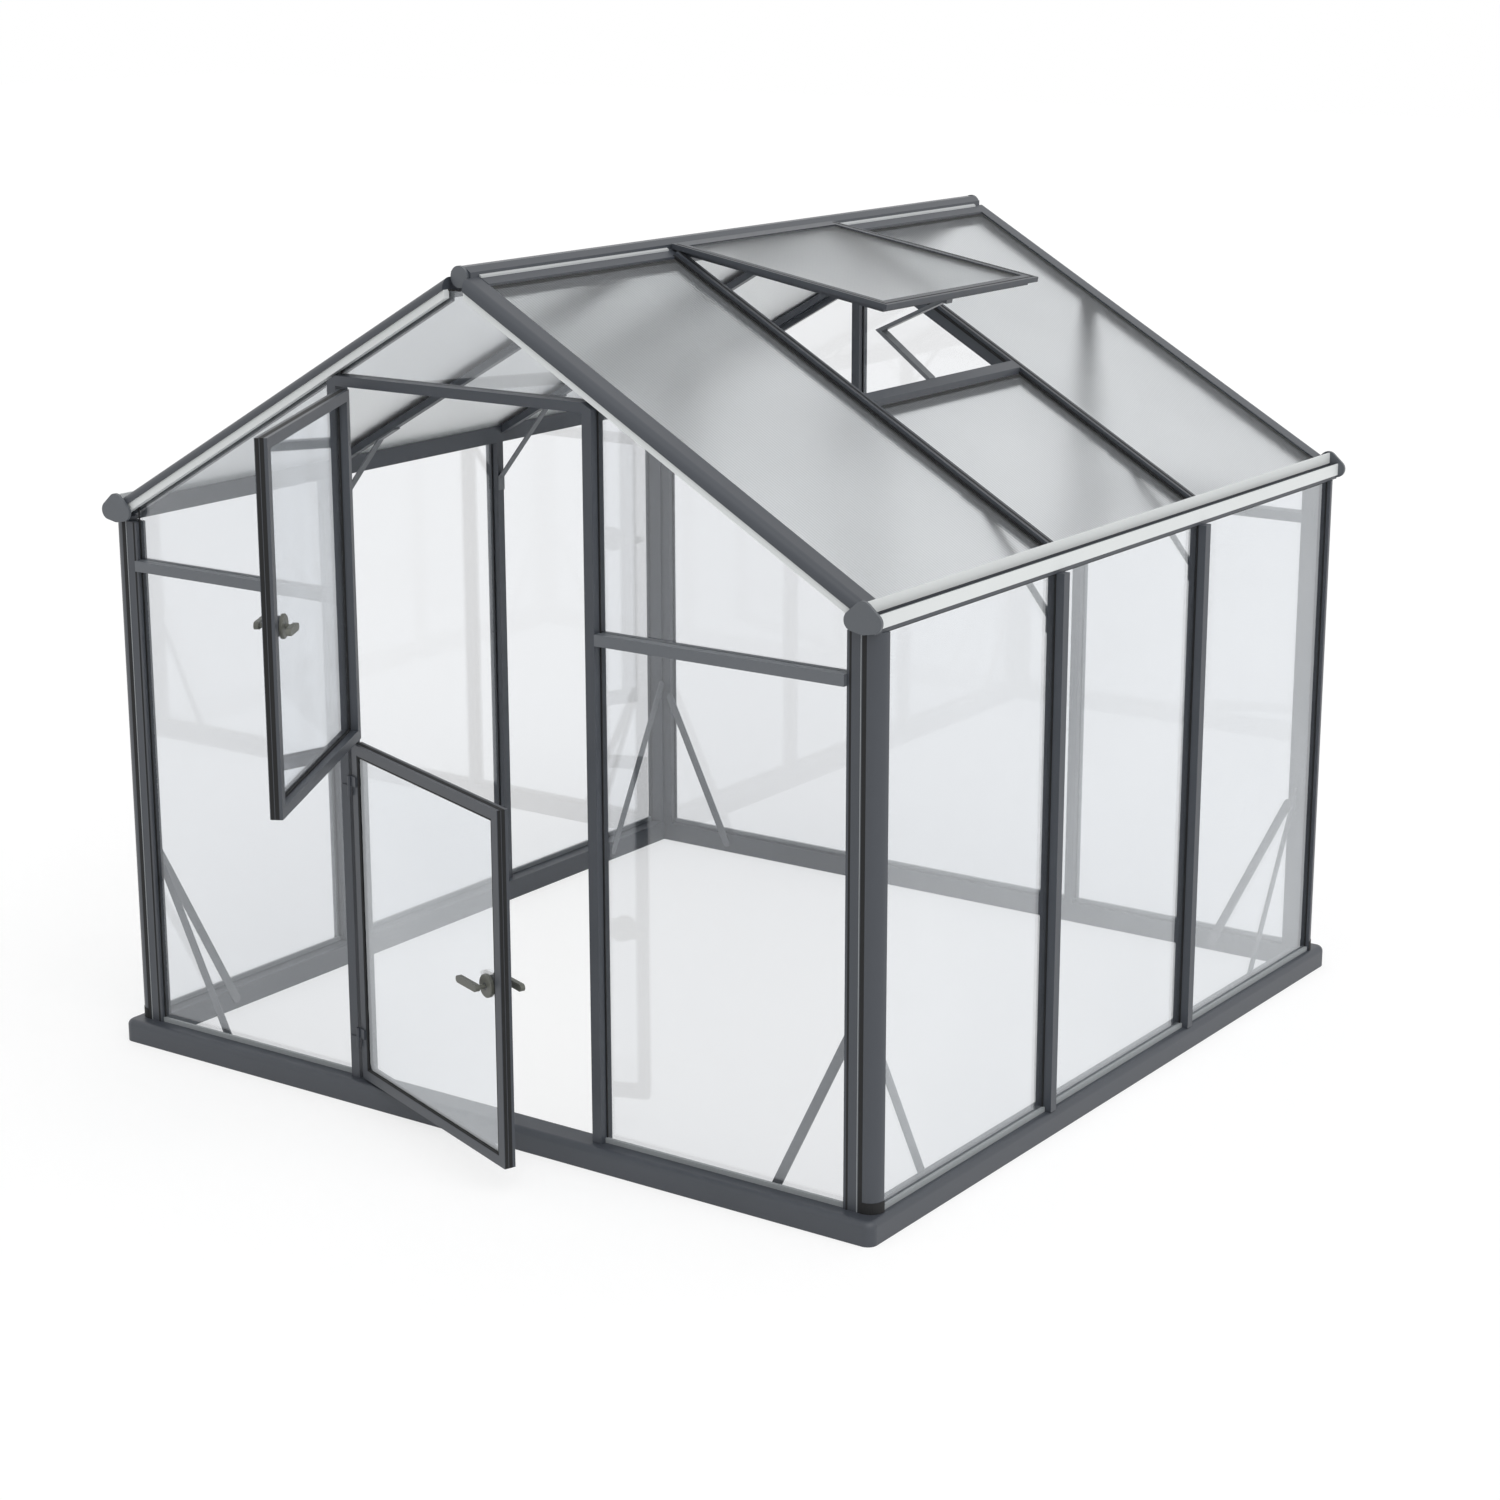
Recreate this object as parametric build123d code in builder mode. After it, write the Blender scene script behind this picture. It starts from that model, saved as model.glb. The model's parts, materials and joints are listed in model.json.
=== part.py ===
"""Small greenhouse: aluminium bars, glass walls, twin-wall roof, stable door and one roof vent.

Millimetres. X runs along the front gable, Y from the door to the back, Z up.
The origin is the middle of the underside of the front base rail, below the doorway.
"""
import os
from math import atan, cos, degrees, radians, sin

from build123d import *

# Footprint and base rail
base_width = 2424
base_length = 2452
base_height = 60
base_corner_radius = 26
base_top_radius = 16
side_setback = 5
gable_setback = 30

# Bars and glass
bar_width = 27
bar_proud = 25
bar_inside = 16
glass_thickness = 4
bay_pitch = 745
post_gable_leg = 88
post_side_leg = 40
post_radius = 36
post_recess = 12

# Heights of walls and roof
roof_edge_height = 1510
roof_apex_height = 2173
eave_height = 70
eave_setback = 19
roof_edge_setback = 28
rail_drop = 100
rail_height = 28

# Roof bars, gable rafters and roof panels
roof_bar_proud = 15
panel_thickness = 10
roof_bar_under = 20
rafter_top_drop = 11
rafter_gable_leg = 36
rafter_inner_leg = 62
rafter_roof_leg = 66
rafter_radius = 24

# Eave beam with its gutter
gutter_floor = 12
gutter_wall = 5
gutter_lip_height = 42
gutter_width = 17

# Ridge beam
ridge_half_width = 58
ridge_core_half = 30
ridge_flat_half = 12
ridge_drop = 5
ridge_recess = 34
ridge_wing_drop = 10

# Pale sealing strips
fascia_thickness = 5
lip_strip_thickness = 3
lip_strip_height = 32
gable_strip_width = 18
gable_strip_depth = 20
ridge_strip_width = 6
ridge_strip_thickness = 4
sill_strip_height = 12
sill_strip_depth = 8

# End caps
cap_thickness = 8
cap_lobe_radius = 24
eave_cap_width = 100
eave_cap_height = 76
eave_cap_lobe_drop = 9
eave_cap_overhang = 22
ridge_cap_width = 50
ridge_cap_height = 52
ridge_cap_rise = 3

# Doorway and its two leaves
jamb_spacing = 788
header_height = 25
leaf_gap = 12
hinge_offset = 6
leaf_depth = 30
stile_width = 26
pane_setback = 4
sill_gap = 6
header_gap = 6
leaf_split_gap = 16
leaf_split_share = 0.5
upper_leaf_angle = 62
lower_leaf_angle = 21

# Hinges
knuckle_radius = 5
knuckle_height = 26
pin_radius = 3
pin_clearance = 0.05
pin_height = 22
knuckle_gap = 0.3
hinge_plate_length = 28
hinge_plate_thickness = 4
hinge_end_distance = 110

# Door handles
handle_stile_gap = 14
rosette_radius = 24
rosette_proud = 6
spindle_radius = 5
spindle_clearance = 0.05
spindle_hole_radius = 8
lever_radius = 9
lever_thickness = 12
outer_lever_length = 90
inner_lever_length = 66
lever_standoff = 24

# Roof vent
vent_length = 661
vent_width = 742
vent_frame_width = 32
vent_cover_depth = 13
vent_rim_depth = 11
vent_rim_inset = 18
vent_seat = 8
vent_open_angle = 20
vent_hinge_gap = 2
sill_distance = 687
opener_width = 28
opener_thickness = 10
opener_knee_in = 190
opener_knee_drop = 89
opener_foot = 40
opener_offset = 40

# Braces
brace_thickness = 4
brace_width = 25
knee_foot_drop = 150
knee_foot_length = 40
knee_head_distance = 187
knee_head_length = 62
strut_gable_rise = 430
strut_gable_run = 225
strut_side_rise = 470
strut_side_run = 268
strut_foot_height = 30

# Cuts run past what they cut by this much
overrun = 200

# Derived places
bar_depth = bar_proud + glass_thickness + bar_inside
base_depth = gable_setback + bar_depth
half_width = base_width / 2
base_front = -base_depth / 2
base_back = base_front + base_length
middle_y = (base_front + base_back) / 2
base_inner_x = half_width - base_depth
wall_x = half_width - side_setback
stud_inner_x = wall_x - bar_depth
front_y = base_front + gable_setback
back_y = base_back - gable_setback
inner_front_y = front_y + bar_depth
post_outer_x = wall_x - post_recess
post_outer_y = front_y + post_recess
post_x = post_outer_x - post_gable_leg
post_y = post_outer_y + post_side_leg
eave_x = wall_x - eave_setback
eave_inner_x = eave_x - bar_depth
eave_base_height = roof_edge_height - eave_height
rail_top_height = eave_base_height - rail_drop
roof_edge_x = eave_x - roof_edge_setback
roof_slope = (roof_apex_height - roof_edge_height) / roof_edge_x
roof_angle = degrees(atan(roof_slope))
roof_bar_depth = roof_bar_proud + panel_thickness + roof_bar_under
panel_seat = roof_bar_proud + panel_thickness
bay_lines = (middle_y - bay_pitch / 2, middle_y + bay_pitch / 2)
half_bar = bar_width / 2
jamb_x = jamb_spacing / 2
opening_half = jamb_x - half_bar
jamb_outer = jamb_x + half_bar
glass_front = front_y + bar_proud
vent_angle = roof_angle - vent_open_angle

mirror_x = Plane.YZ
mirror_y = Plane.XZ.offset(-middle_y)


def roof_z(x, drop=0):
    """Height over x of the plane that lies drop below the tops of the roof bars, square to the slope."""
    return roof_apex_height - abs(x) * roof_slope - drop / cos(radians(roof_angle))


header_top = roof_z(opening_half, rafter_inner_leg)
header_bottom = header_top - header_height


def gable_plane(y):
    """Upright plane across the greenhouse at y, seen from the front."""
    return Plane.XZ.offset(-y)


def side_plane(x):
    """Upright plane along the greenhouse at x."""
    return Plane.YZ.offset(x)


def polygon(points):
    """A filled outline through the given points, in the sketch that is open."""
    Polygon(*points, align=None)


def plate(points, y, thickness):
    """A plate with an outline in X and Z that starts at y and runs back by its thickness."""
    with BuildSketch(gable_plane(y)) as outline:
        polygon(points)
    extrude(outline.sketch, amount=-thickness)


def box(low, high):
    """A block between two corners of the open workplane."""
    size = [top - bottom for bottom, top in zip(low, high)]
    centre = [(top + bottom) / 2 for bottom, top in zip(low, high)]
    with Locations(tuple(centre)):
        Box(*size)


def mirrored(points):
    """An outline in X and Z turned over to the left side."""
    return [(-x, z) for x, z in points]


def keep(name, builder):
    """Label a finished piece and write it."""
    builder.part.label = name
    export_step(builder.part, f"parts/{name}.step")


os.makedirs("parts", exist_ok=True)

# Base: one rounded ring, parted at its mitres into four rails
with BuildPart() as base_ring:
    with BuildSketch():
        with Locations((0, middle_y)):
            RectangleRounded(base_width, base_length, base_corner_radius)
            Rectangle(base_width - 2 * base_depth, base_length - 2 * base_depth, mode=Mode.SUBTRACT)
    extrude(amount=base_height)
    fillet(base_ring.faces().sort_by(Axis.Z)[-1].outer_wire().edges(), base_top_radius)

base_inner_front = base_front + base_depth
base_inner_back = base_back - base_depth
base_mitres = {
    "base_front": [
        (-half_width, base_front),
        (half_width, base_front),
        (base_inner_x, base_inner_front),
        (-base_inner_x, base_inner_front),
    ],
    "base_back": [
        (-half_width, base_back),
        (half_width, base_back),
        (base_inner_x, base_inner_back),
        (-base_inner_x, base_inner_back),
    ],
    "base_left": [
        (-half_width, base_front),
        (-half_width, base_back),
        (-base_inner_x, base_inner_back),
        (-base_inner_x, base_inner_front),
    ],
    "base_right": [
        (half_width, base_front),
        (half_width, base_back),
        (base_inner_x, base_inner_back),
        (base_inner_x, base_inner_front),
    ],
}
for name, corners in base_mitres.items():
    with BuildPart() as base_rail:
        add(base_ring.part)
        with BuildSketch():
            polygon(corners)
        extrude(amount=base_height, mode=Mode.INTERSECT)
    keep(name, base_rail)

# Corner posts: an angle with a large round outer corner
with BuildPart() as corner_post:
    with BuildSketch(Plane.XY.offset(base_height)):
        polygon([
            (post_outer_x, post_outer_y),
            (post_outer_x, post_y),
            (base_inner_x, post_y),
            (base_inner_x, inner_front_y),
            (post_x, inner_front_y),
            (post_x, post_outer_y),
        ])
    extrude(amount=eave_base_height - base_height)
    post_corner = (post_outer_x, post_outer_y, base_height)
    fillet(corner_post.edges().filter_by(Axis.Z).sort_by_distance(post_corner)[0], post_radius)
with BuildPart() as corner_post_left:
    mirror(corner_post.part, about=mirror_x)
with BuildPart() as corner_post_back:
    mirror(corner_post.part, about=mirror_y)
with BuildPart() as corner_post_back_left:
    mirror(corner_post_left.part, about=mirror_y)
keep("corner_post_front_right", corner_post)
keep("corner_post_front_left", corner_post_left)
keep("corner_post_back_right", corner_post_back)
keep("corner_post_back_left", corner_post_back_left)

# Eave beams: a seat for the roof with a gutter outside it
gutter_outer_x = eave_x - gutter_wall
gutter_inner_x = gutter_outer_x - gutter_width
gutter_floor_z = eave_base_height + gutter_floor
gutter_lip_z = eave_base_height + gutter_lip_height
eave_outline = [
    (eave_inner_x, eave_base_height),
    (eave_x, eave_base_height),
    (eave_x, gutter_lip_z),
    (gutter_outer_x, gutter_lip_z),
    (gutter_outer_x, gutter_floor_z),
    (gutter_inner_x, gutter_floor_z),
    (gutter_inner_x, roof_z(gutter_inner_x, panel_seat)),
    (eave_inner_x, roof_z(eave_inner_x, panel_seat)),
]
wall_length = back_y - front_y
for name, outline in (("eave_right", eave_outline), ("eave_left", mirrored(eave_outline))):
    with BuildPart() as eave:
        plate(outline, front_y, wall_length)
    keep(name, eave)


def roof_outline(top_drop, bottom_drop, high_x, low_x):
    """Outline of a sloping piece of the right roof between two planes and two upright ends."""
    return [
        (high_x, roof_z(high_x, top_drop)),
        (low_x, roof_z(low_x, top_drop)),
        (low_x, roof_z(low_x, bottom_drop)),
        (high_x, roof_z(high_x, bottom_drop)),
    ]


# Ridge beam: a core from gable to gable, with wings between the rafters, left out behind the vent
ridge_shoulder_z = roof_z(ridge_core_half)
ridge_bottom_z = roof_z(ridge_core_half, rafter_gable_leg)
ridge_top_z = roof_apex_height - ridge_drop
ridge_wing = roof_outline(ridge_wing_drop, roof_bar_depth, ridge_core_half, ridge_half_width)
with BuildPart() as ridge_beam:
    plate(
        [
            (-ridge_core_half, ridge_bottom_z),
            (ridge_core_half, ridge_bottom_z),
            (ridge_core_half, ridge_shoulder_z),
            (ridge_flat_half, ridge_top_z),
            (-ridge_flat_half, ridge_top_z),
            (-ridge_core_half, ridge_shoulder_z),
        ],
        front_y + ridge_recess,
        wall_length - 2 * ridge_recess,
    )
    plate(mirrored(ridge_wing), front_y + rafter_roof_leg, wall_length - 2 * rafter_roof_leg)
    for start in (front_y + rafter_roof_leg, bay_lines[1] - half_bar):
        plate(ridge_wing, start, bay_lines[0] + half_bar - front_y - rafter_roof_leg)
keep("ridge_beam", ridge_beam)

# Gable rafters: the same angle section as the posts, laid along the slope
slope_cos = cos(radians(roof_angle))
slope_sin = sin(radians(roof_angle))
rafter_plane = Plane(
    origin=(0, front_y, roof_apex_height), x_dir=(0, 1, 0), z_dir=(slope_cos, 0, -slope_sin)
)
with BuildPart() as rafter:
    with BuildSketch(rafter_plane) as rafter_section:
        polygon([
            (0, -rafter_top_drop),
            (rafter_roof_leg, -rafter_top_drop),
            (rafter_roof_leg, -roof_bar_depth),
            (bar_depth, -roof_bar_depth),
            (bar_depth, -rafter_inner_leg),
            (bar_proud + glass_thickness, -rafter_inner_leg),
            (bar_proud + glass_thickness, -rafter_gable_leg),
            (0, -rafter_gable_leg),
        ])
        fillet(rafter_section.vertices().sort_by_distance(rafter_plane.origin)[0], rafter_radius)
    extrude(amount=roof_edge_x / slope_cos + overrun)
    with BuildSketch(gable_plane(front_y)):
        polygon([
            (ridge_core_half, roof_apex_height),
            (roof_edge_x, roof_apex_height),
            (roof_edge_x, roof_z(roof_edge_x, panel_seat)),
            (eave_inner_x, roof_z(eave_inner_x, panel_seat)),
            (eave_inner_x, eave_base_height),
            (ridge_core_half, eave_base_height),
        ])
    extrude(amount=-rafter_roof_leg, mode=Mode.INTERSECT)
with BuildPart() as front_rafters:
    add(rafter.part)
    mirror(rafter.part, about=mirror_x)
with BuildPart() as back_rafters:
    mirror(front_rafters.part, about=mirror_y)
keep("front_rafters", front_rafters)
keep("back_rafters", back_rafters)

# Wall studs and roof bars, one line of each at both bay lines of both sides
roof_bar_outline = [
    (ridge_half_width, roof_z(ridge_half_width)),
    (roof_edge_x, roof_z(roof_edge_x)),
    (roof_edge_x, roof_z(roof_edge_x, panel_seat)),
    (eave_inner_x, roof_z(eave_inner_x, panel_seat)),
    (eave_inner_x, roof_z(eave_inner_x, roof_bar_depth)),
    (ridge_half_width, roof_z(ridge_half_width, roof_bar_depth)),
]
sides = (("right", 1), ("left", -1))
for side, sign in sides:
    with BuildPart() as studs:
        for y in bay_lines:
            x_near, x_far = sorted((sign * stud_inner_x, sign * wall_x))
            box(
                (x_near, y - half_bar, base_height),
                (x_far, y + half_bar, eave_base_height),
            )
    keep(f"{side}_wall_studs", studs)
    with BuildPart() as roof_bars:
        for y in bay_lines:
            outline = roof_bar_outline if sign > 0 else mirrored(roof_bar_outline)
            plate(outline, y - half_bar, bar_width)
    keep(f"{side}_roof_bars", roof_bars)

# Door jambs, door header and gable rails
jamb_outline = [
    (opening_half, base_height),
    (jamb_outer, base_height),
    (jamb_outer, roof_z(jamb_outer, rafter_inner_leg)),
    (opening_half, roof_z(opening_half, rafter_inner_leg)),
]
rail_bottom_height = rail_top_height - rail_height
with BuildPart() as door_jambs:
    for outline in (jamb_outline, mirrored(jamb_outline)):
        plate(outline, front_y, bar_depth)
with BuildPart() as back_studs:
    mirror(door_jambs.part, about=mirror_y)
with BuildPart() as door_header:
    box((-opening_half, front_y, header_bottom), (opening_half, inner_front_y, header_top))
with BuildPart() as front_rails:
    box((jamb_outer, front_y, rail_bottom_height), (post_x, inner_front_y, rail_top_height))
    box((-post_x, front_y, rail_bottom_height), (-jamb_outer, inner_front_y, rail_top_height))
with BuildPart() as back_rails:
    mirror(front_rails.part, about=mirror_y)
keep("door_jambs", door_jambs)
keep("back_studs", back_studs)
keep("door_header", door_header)
keep("front_rails", front_rails)
keep("back_rails", back_rails)

# Gable glass: panes beside the middle below and above the rails, one over the door, a tall one behind
side_pane = [
    (jamb_outer, base_height),
    (post_x, base_height),
    (post_x, rail_bottom_height),
    (jamb_outer, rail_bottom_height),
]
upper_pane = [
    (jamb_outer, rail_top_height),
    (post_x, rail_top_height),
    (post_x, roof_z(post_x, rafter_gable_leg)),
    (jamb_outer, roof_z(jamb_outer, rafter_gable_leg)),
]
apex_side = [(opening_half, header_top), (opening_half, roof_z(opening_half, rafter_gable_leg))]
apex_top = [(ridge_core_half, ridge_bottom_z), (-ridge_core_half, ridge_bottom_z)]
apex_pane = apex_side + apex_top + mirrored(reversed(apex_side))
tall_side = [(opening_half, base_height), (opening_half, roof_z(opening_half, rafter_gable_leg))]
tall_pane = tall_side + apex_top + mirrored(reversed(tall_side))
beside_panes = (side_pane, mirrored(side_pane), upper_pane, mirrored(upper_pane))
with BuildPart() as front_glass:
    for outline in (*beside_panes, apex_pane):
        plate(outline, glass_front, glass_thickness)
with BuildPart() as back_glass:
    for outline in (*beside_panes, tall_pane):
        plate(outline, back_y - bar_proud - glass_thickness, glass_thickness)
keep("front_glass", front_glass)
keep("back_glass", back_glass)

# Side glass and roof panels, one of each to a bay
wall_bays = (
    (post_y, bay_lines[0] - half_bar),
    (bay_lines[0] + half_bar, bay_lines[1] - half_bar),
    (bay_lines[1] + half_bar, 2 * middle_y - post_y),
)
roof_bays = (
    (front_y + rafter_roof_leg, wall_bays[0][1]),
    wall_bays[1],
    (wall_bays[2][0], back_y - rafter_roof_leg),
)
vent_hinge_x = ridge_core_half + vent_hinge_gap
sill_x = vent_hinge_x + sill_distance * slope_cos
sill_low_x = sill_x + half_bar
for side, sign in sides:
    with BuildPart() as side_glass:
        for start, end in wall_bays:
            near, far = sorted((sign * (wall_x - bar_proud - glass_thickness), sign * (wall_x - bar_proud)))
            box((near, start, base_height), (far, end, eave_base_height))
    keep(f"{side}_glass", side_glass)
    with BuildPart() as roof_panels:
        for start, end in roof_bays:
            vented = sign > 0 and start == wall_bays[1][0]
            high_x = sill_low_x if vented else ridge_half_width
            outline = roof_outline(roof_bar_proud, panel_seat, high_x, roof_edge_x)
            plate(outline if sign > 0 else mirrored(outline), start, end - start)
    keep(f"{side}_roof_panels", roof_panels)

# Roof vent in the middle bay of the right slope, propped open over its sill
vent_plane = Plane(
    origin=(vent_hinge_x, middle_y, roof_z(vent_hinge_x, vent_seat)),
    x_dir=(cos(radians(vent_angle)), 0, -sin(radians(vent_angle))),
    z_dir=(sin(radians(vent_angle)), 0, cos(radians(vent_angle))),
)
vent_centre = (vent_length / 2, 0)
pane_length = vent_length - 2 * vent_frame_width
pane_width = vent_width - 2 * vent_frame_width
rim_length = vent_length - 2 * vent_rim_inset
rim_width = vent_width - 2 * vent_rim_inset
with BuildPart() as vent_frame:
    with BuildSketch(vent_plane):
        with Locations(vent_centre):
            Rectangle(vent_length, vent_width)
            Rectangle(pane_length, pane_width, mode=Mode.SUBTRACT)
    extrude(amount=vent_cover_depth)
    with BuildSketch(vent_plane):
        with Locations(vent_centre):
            Rectangle(rim_length, rim_width)
            Rectangle(pane_length, pane_width, mode=Mode.SUBTRACT)
    extrude(amount=-vent_rim_depth)
with BuildPart() as vent_panel:
    with BuildSketch(vent_plane):
        with Locations(vent_centre):
            Rectangle(pane_length, pane_width)
    extrude(amount=panel_thickness)
with BuildPart() as vent_sill:
    plate(
        roof_outline(0, roof_bar_depth, sill_x - half_bar, sill_low_x),
        wall_bays[1][0],
        wall_bays[1][1] - wall_bays[1][0],
    )
keep("vent_frame", vent_frame)
keep("vent_panel", vent_panel)
keep("vent_sill", vent_sill)

# Vent opener: two arms with a knee between the vent's lower rail and the sill
opener_half = opener_thickness / 2
rim_under = -vent_rim_depth - opener_half
rail_under = vent_plane.from_local_coords((vent_length - vent_rim_inset, 0, rim_under))
rail_inner = vent_plane.from_local_coords((vent_length - vent_frame_width, 0, rim_under))
sill_face_x = sill_x - half_bar - opener_half
sill_face_z = roof_z(sill_x - half_bar)
with BuildPart() as vent_opener:
    with BuildSketch(gable_plane(middle_y - opener_offset - opener_width / 2)):
        with BuildLine():
            Polyline(
                (rail_under.X, rail_under.Z),
                (rail_inner.X, rail_inner.Z),
                (rail_inner.X - opener_knee_in, rail_inner.Z - opener_knee_drop),
                (sill_face_x, sill_face_z),
                (sill_face_x, sill_face_z - opener_foot),
            )
        trace(line_width=opener_thickness)
    extrude(amount=-opener_width)
keep("vent_opener", vent_opener)

# Pale sealing strips along the eaves, under the gable rafters, beside the ridge and at the foot of the glass
fascia = [
    (roof_edge_x, roof_z(roof_edge_x, panel_seat)),
    (roof_edge_x + fascia_thickness, roof_z(roof_edge_x, panel_seat)),
    (roof_edge_x + fascia_thickness, roof_z(roof_edge_x)),
    (roof_edge_x, roof_z(roof_edge_x)),
]
lip_strip = [
    (eave_x, gutter_lip_z - lip_strip_height),
    (eave_x + lip_strip_thickness, gutter_lip_z - lip_strip_height),
    (eave_x + lip_strip_thickness, gutter_lip_z),
    (eave_x, gutter_lip_z),
]
with BuildPart() as eave_strips:
    for outline in (fascia, mirrored(fascia), lip_strip, mirrored(lip_strip)):
        plate(outline, front_y, wall_length)
gable_strip_low = rafter_gable_leg + gable_strip_width
gable_strip = roof_outline(rafter_gable_leg, gable_strip_low, ridge_core_half, eave_inner_x)
with BuildPart() as front_strips:
    for outline in (gable_strip, mirrored(gable_strip)):
        plate(outline, glass_front - gable_strip_depth, gable_strip_depth)
with BuildPart() as gable_strips:
    add(front_strips.part)
    mirror(front_strips.part, about=mirror_y)
ridge_strip = roof_outline(
    ridge_wing_drop - ridge_strip_thickness,
    ridge_wing_drop,
    ridge_core_half,
    ridge_core_half + ridge_strip_width,
)
with BuildPart() as ridge_strips:
    for start, end in (roof_bays[0], roof_bays[2]):
        plate(ridge_strip, start, end - start)
    for start, end in roof_bays:
        plate(mirrored(ridge_strip), start, end - start)
sill_strip_top = base_height + sill_strip_height
glass_back = back_y - bar_proud
with BuildPart() as sill_strips:
    for side, sign in sides:
        near, far = sorted((sign * (wall_x - bar_proud), sign * (wall_x - bar_proud + sill_strip_depth)))
        for start, end in wall_bays:
            box((near, start, base_height), (far, end, sill_strip_top))
        left, right = sorted((sign * jamb_outer, sign * post_x))
        box((left, glass_front - sill_strip_depth, base_height), (right, glass_front, sill_strip_top))
        box((left, glass_back, base_height), (right, glass_back + sill_strip_depth, sill_strip_top))
    box(
        (-opening_half, glass_back, base_height),
        (opening_half, glass_back + sill_strip_depth, sill_strip_top),
    )
keep("eave_strips", eave_strips)
keep("gable_strips", gable_strips)
keep("ridge_strips", ridge_strips)
keep("sill_strips", sill_strips)

# End caps over the eave and ridge ends
eave_cap_x = eave_x + eave_cap_overhang - eave_cap_width / 2
eave_cap_z = roof_edge_height - eave_cap_height / 2 + cap_thickness / 2
ridge_cap_z = ridge_top_z + ridge_cap_rise - ridge_cap_height / 2


def lobed_plate(x, y, z, width, height, drop=0):
    """A cap with round lobes at top and bottom and at both sides, these set lower by drop, in front of y."""
    reach_x = width / 2 - cap_lobe_radius
    reach_z = height / 2 - cap_lobe_radius
    with BuildSketch(gable_plane(y)) as lobes:
        side_z = z - drop
        with Locations((x - reach_x, side_z), (x + reach_x, side_z), (x, z - reach_z), (x, z + reach_z)):
            Circle(cap_lobe_radius)
        make_hull()
    extrude(lobes.sketch, amount=cap_thickness)


with BuildPart() as front_caps:
    for side, sign in sides:
        eave_cap_size = (eave_cap_width, eave_cap_height, eave_cap_lobe_drop)
        lobed_plate(sign * eave_cap_x, front_y, eave_cap_z, *eave_cap_size)
    lobed_plate(0, front_y + ridge_recess, ridge_cap_z, ridge_cap_width, ridge_cap_height)
with BuildPart() as back_caps:
    mirror(front_caps.part, about=mirror_y)
keep("front_end_caps", front_caps)
keep("back_end_caps", back_caps)

# Knee braces from each wall stud to the roof bar over it
brace_half = brace_thickness / 2
brace_drop = roof_bar_depth + brace_half
knee_foot_height = eave_base_height - knee_foot_drop
knee_head_x = stud_inner_x - knee_head_distance
knee_points = [
    (stud_inner_x - brace_half, knee_foot_height),
    (stud_inner_x - brace_half, knee_foot_height + knee_foot_length),
    (knee_head_x, roof_z(knee_head_x, brace_drop)),
    (knee_head_x - knee_head_length, roof_z(knee_head_x - knee_head_length, brace_drop)),
]
with BuildPart() as knee_braces:
    for points in (knee_points, mirrored(knee_points)):
        for y in bay_lines:
            with BuildSketch(gable_plane(y - brace_width / 2)):
                with BuildLine():
                    Polyline(*points)
                trace(line_width=brace_thickness)
            extrude(amount=-brace_width)
keep("knee_braces", knee_braces)

# Corner struts: flat bars from the posts down to the inner faces of the base
strut_radius = brace_width / 2
strut_head_y = inner_front_y + strut_radius


def strut(plane, post, foot):
    """A flat bar with round ends between two points of a wall's inner face."""
    with BuildSketch(plane) as bar:
        with Locations(post, foot):
            Circle(strut_radius)
        make_hull()
    extrude(bar.sketch, amount=-brace_thickness)


with BuildPart() as corner_strut_pair:
    strut(
        gable_plane(inner_front_y),
        (post_x, base_height + strut_gable_rise),
        (post_x - strut_gable_run, strut_foot_height),
    )
    strut(
        side_plane(base_inner_x),
        (strut_head_y, base_height + strut_side_rise),
        (strut_head_y + strut_side_run, strut_foot_height),
    )
with BuildPart() as front_struts:
    add(corner_strut_pair.part)
    mirror(corner_strut_pair.part, about=mirror_x)
with BuildPart() as corner_struts:
    add(front_struts.part)
    mirror(front_struts.part, about=mirror_y)
keep("corner_struts", corner_struts)

# Stable door: hinge axis in front of the left jamb, each leaf on its own turned plane
hinge_x = -opening_half + leaf_gap / 2
hinge_y = front_y - hinge_offset
leaf_start = leaf_gap / 2
leaf_end = leaf_start + 2 * (opening_half - leaf_gap)
leaf_outer = hinge_offset
leaf_inner = hinge_offset + leaf_depth
pane_outer = leaf_outer + pane_setback
pane_inner = pane_outer + glass_thickness
lower_leaf_bottom = base_height + sill_gap
lower_leaf_top = base_height + leaf_split_share * (header_bottom - base_height)
upper_leaf_bottom = lower_leaf_top + leaf_split_gap
upper_leaf_top = header_bottom - header_gap
leaves = (
    ("lower_door", lower_leaf_angle, lower_leaf_bottom, lower_leaf_top),
    ("upper_door", upper_leaf_angle, upper_leaf_bottom, upper_leaf_top),
)


def leaf_plane(angle, z=0):
    """Level plane on the hinge axis whose X runs along a leaf that stands open by angle."""
    along = (cos(radians(angle)), -sin(radians(angle)), 0)
    return Plane(origin=(hinge_x, hinge_y, z), x_dir=along, z_dir=(0, 0, 1))


def across_leaf(angle, x, y, z):
    """Upright plane facing out of a leaf, at a place of the leaf's own frame."""
    level = leaf_plane(angle)
    along = level.x_dir
    outward = -level.y_dir
    return Plane(origin=level.from_local_coords((x, y, z)), x_dir=along, z_dir=outward)


def hinge_heights(bottom, top):
    """Heights of the joint faces of a leaf's two hinges."""
    return (bottom + hinge_end_distance, top - hinge_end_distance)


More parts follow.
